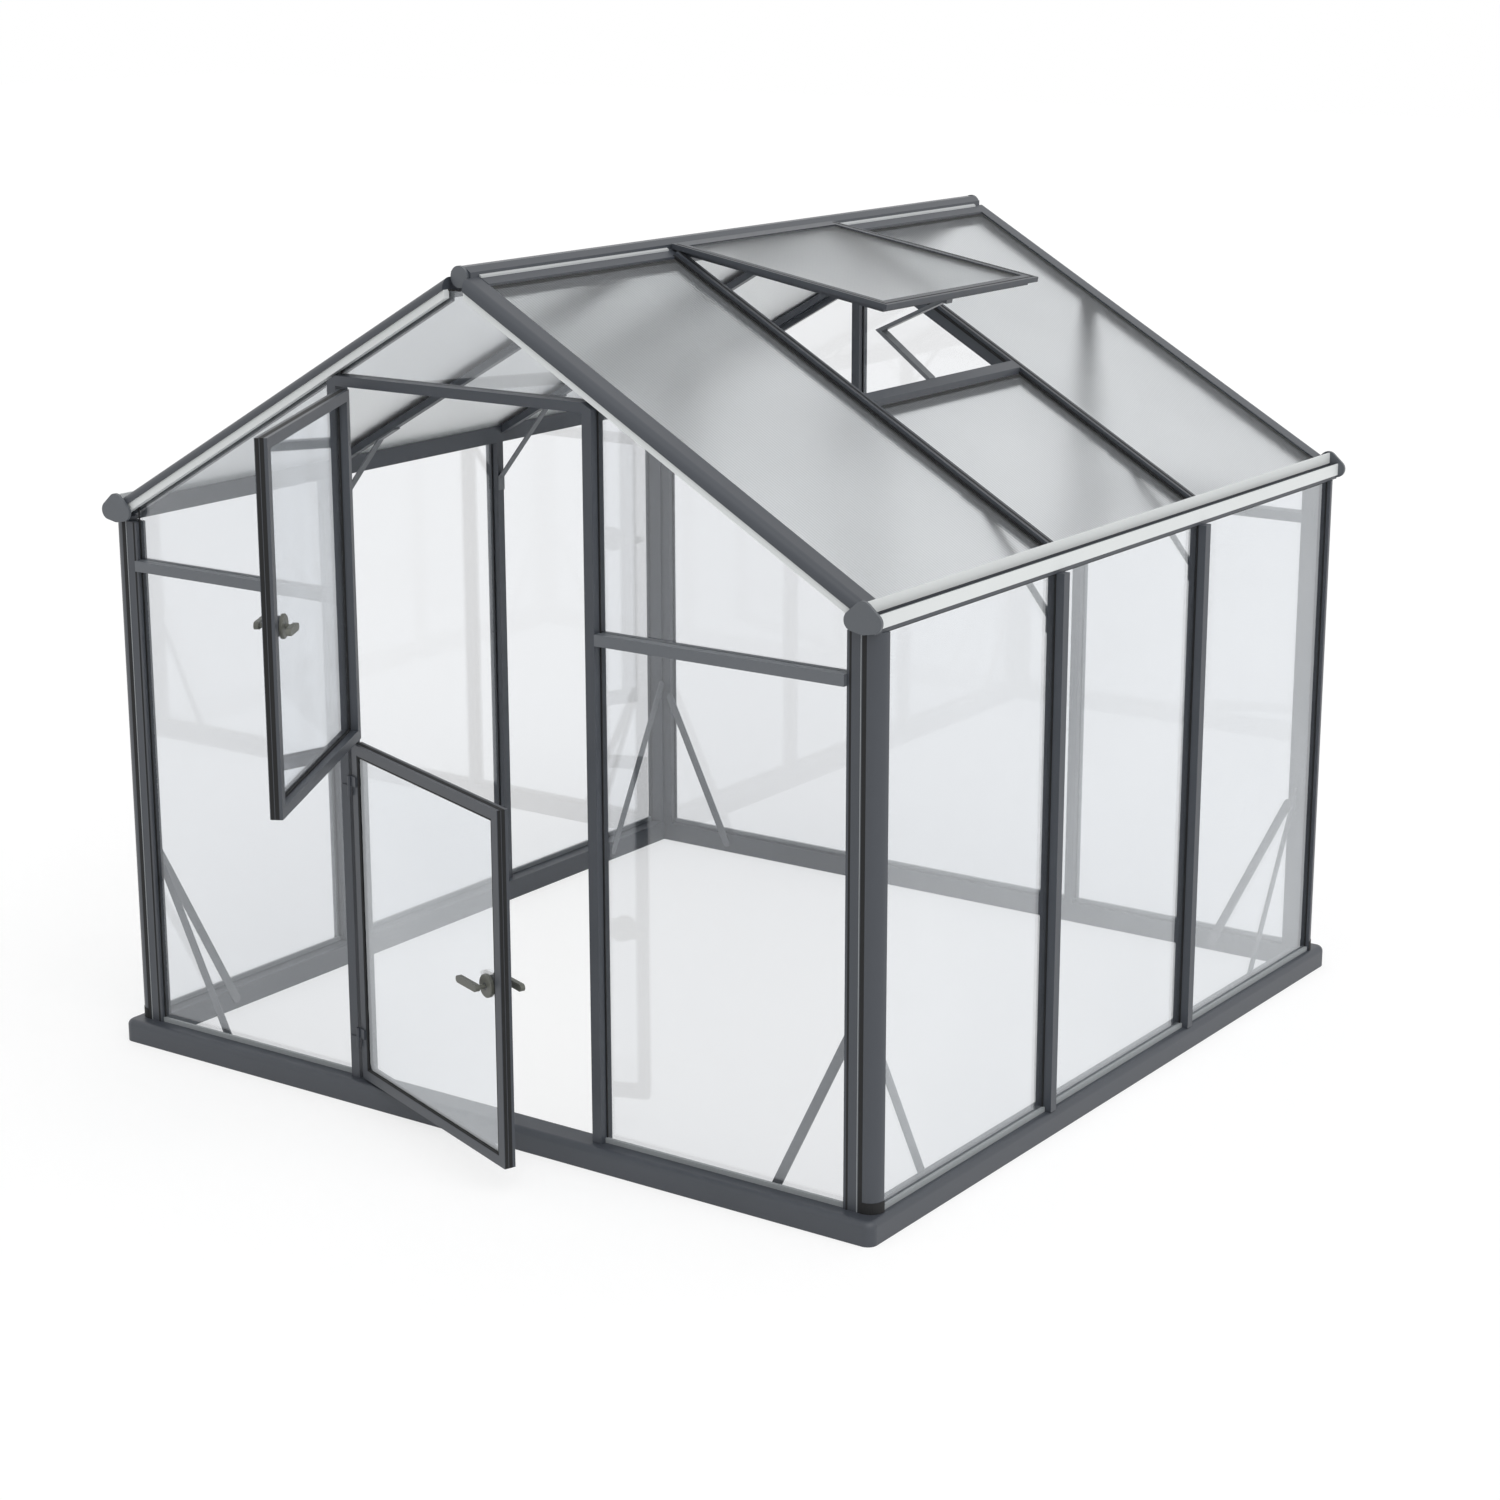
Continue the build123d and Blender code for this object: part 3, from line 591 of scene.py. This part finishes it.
leaf_inward = {}
for joint in frame["joints"]:
    if not joint["name"].endswith("_door_hinge"):
        continue
    body = joint["child"]
    opened = radians(-joint["range_deg"][0])
    leaf_inward[body] = Vector((sin(opened), cos(opened), 0))
    leaf = (Vector(joint["pos_m"]), Vector((cos(opened), -sin(opened), 0)), leaf_inward[body])
    leaf_low, leaf_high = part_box(f"{body}_stiles")
    pane_low, pane_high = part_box(f"{body}_glass")
    stile = pane_low.z - leaf_low.z
    s_ends = (leaf_start + stile, leaf_end - stile)
    z_ends = (pane_low.z, pane_high.z)
    blocks = []
    for d_pair in ((pane_outer - seal_depth, pane_outer), (pane_inner, pane_inner + seal_depth)):
        for s in (s_ends[0], s_ends[1] - leaf_seal):
            blocks.append(leaf_block(leaf, (s, s + leaf_seal), d_pair, z_ends))
        for z in (z_ends[0], z_ends[1] - leaf_seal):
            blocks.append(leaf_block(leaf, s_ends, d_pair, (z, z + leaf_seal)))
    # Black blocks in the slots of the free edge and the top edge paint their shade.
    for d_pair in free_edge_slot_shade:
        blocks.append(leaf_block(leaf, (leaf_end, leaf_end + skin), d_pair, (leaf_low.z, leaf_high.z)))
    top_pair = (leaf_high.z, leaf_high.z + skin)
    blocks.append(leaf_block(leaf, (leaf_start, leaf_end), top_edge_slot_shade, top_pair))
    strips(f"{body}_seals", blocks, black_rubber_and_painted_shade, body)

# %% [markdown]
# ## Rosettes of the handles
# A moulded rosette covers the hole for the spindle on both sides of each leaf. It is one closed outline,
# turned about the spindle, whose middle the handle's joint gives.

# %% Turn the rosettes
turn_steps = 48


def turned(name, outlines, centre, axis, finish, body):
    """One piece made of closed outlines of (radius, distance along the axis), turned about the axis."""
    side = axis.orthogonal().normalized()
    other = axis.cross(side)
    points = []
    faces = []
    for outline in outlines:
        start, count = len(points), len(outline)
        for step in range(turn_steps):
            angle = 2 * pi * step / turn_steps
            ray = cos(angle) * side + sin(angle) * other
            points += [centre + radius * ray + distance * axis for radius, distance in outline]
        for step in range(turn_steps):
            this_row = start + step * count
            next_row = start + (step + 1) % turn_steps * count
            for index in range(count):
                after = (index + 1) % count
                faces.append((this_row + index, this_row + after, next_row + after, next_row + index))
    add_piece(name, points, faces, finish, body)


rosette_radius, rosette_bore, rosette_bevel = 0.029, 0.0085, 0.002
outer_side, inner_side = -1, 1
rosette_feet = {outer_side: 0.0115, inner_side: 0.0135}
rosette_top = 0.0216
rosettes = []
for side, foot in rosette_feet.items():
    rosettes.append((
        (rosette_bore, side * foot),
        (rosette_radius, side * foot),
        (rosette_radius, side * (rosette_top - rosette_bevel)),
        (rosette_radius - rosette_bevel, side * rosette_top),
        (rosette_bore, side * rosette_top),
    )[::-side])
for joint in frame["joints"]:
    if joint["name"].endswith("_handle_turn"):
        body = joint["parent"]
        centre, axis = Vector(joint["pos_m"]), leaf_inward[body]
        turned(f"{body}_rosettes", rosettes, centre, axis, moulded_handle, body)

# %% [markdown]
# ## White studio
# The photograph has a plain white ground. The floor is a large pale sheet that still takes the shadow,
# and the world is white for what the camera sees directly, in a mirror or through a clear piece. The
# light on the object itself comes from a softer world and one very wide sun at the upper right, which
# lights the floor evenly up to the horizon.


# %% Floor
def seen_directly(tree):
    """1 for what the camera sees directly, in a mirror or through a clear piece, and otherwise 0."""
    camera_ray = Wire.make(tree, "ShaderNodeLightPath", out="Is Camera Ray")
    glossy_ray = Wire.make(tree, "ShaderNodeLightPath", out="Is Glossy Ray")
    clear_ray = Wire.make(tree, "ShaderNodeLightPath", out="Is Transmission Ray")
    return camera_ray.larger(glossy_ray).larger(clear_ray)


white = (1, 1, 1, 1)
reach = 40.0
floor_drop = 0.0005
floor_cloud_scale = 0.8
glow_share, glow_level = 0.6, 1.08

paper, tree, place = blank_finish("white_paper")
matt = Wire.make(tree, "ShaderNodeBsdfDiffuse", None, {
    "Color": blend(tree, noise(tree, place, floor_cloud_scale), srgb(246, 246, 246), srgb(250, 250, 250)),
})
glow = Wire.make(tree, "ShaderNodeEmission", None, {"Color": white, "Strength": glow_level})
glow_seen = glow_share * seen_directly(tree)
show(tree, Wire.make(tree, "ShaderNodeMixShader", None, {0: glow_seen, 1: matt, 2: glow}))
floor_mesh = bpy.data.meshes.new("studio_floor")
floor_corners = [(-reach, -reach, 0), (reach, -reach, 0), (reach, reach, 0), (-reach, reach, 0)]
floor_mesh.from_pydata(floor_corners, [], [(0, 1, 2, 3)])
floor_mesh.materials.append(paper)
floor = bpy.data.objects.new("studio_floor", floor_mesh)
floor.location.z = -floor_drop
bpy.context.scene.collection.objects.link(floor)
print("floor reaches", reach, "m each way")

# %% World
soft_level = 0.72

world = bpy.data.worlds.new("studio_world")
bpy.context.scene.world = world
world.use_nodes = True
tree = world.node_tree
tree.nodes.clear()
sky = Wire.make(tree, "ShaderNodeBackground", None, {
    "Color": white,
    "Strength": soft_level + (1 - soft_level) * seen_directly(tree),
})
Wire.make(tree, "ShaderNodeOutputWorld", None, {"Surface": sky})
print("world at", soft_level, "for light, 1 for sight")

# %% Lamp
sun_data = bpy.data.lights.new("soft_sun", "SUN")
sun_data.energy = 1.2
sun_data.angle = radians(60)
sun = bpy.data.objects.new("soft_sun", sun_data)
sun_side = Vector((0.6, -0.22, 0.77))
sun.rotation_euler = sun_side.to_track_quat("Z", "Y").to_euler()
bpy.context.scene.collection.objects.link(sun)
print("lamp level:", sun_data.energy)

# %% [markdown]
# ## Camera
# The place, the turn and the lens come from a camera that was fitted to the straight edges of the
# greenhouse in the photograph, so the render can be laid over it.

# %% Camera
camera_pitch, camera_roll, camera_yaw = 15.033, 0.071, 34.952
camera_data = bpy.data.cameras.new("camera")
camera_data.sensor_width = 36.0
camera_data.lens = 74.32
camera = bpy.data.objects.new("camera", camera_data)
camera.location = (4.759, -5.5917, 2.9587)
camera.rotation_euler = (radians(90 - camera_pitch), radians(camera_roll), radians(camera_yaw))
bpy.context.scene.collection.objects.link(camera)
bpy.context.scene.camera = camera
bpy.context.scene.view_settings.view_transform = "Standard"
print("camera at", tuple(round(value, 2) for value in camera.location))
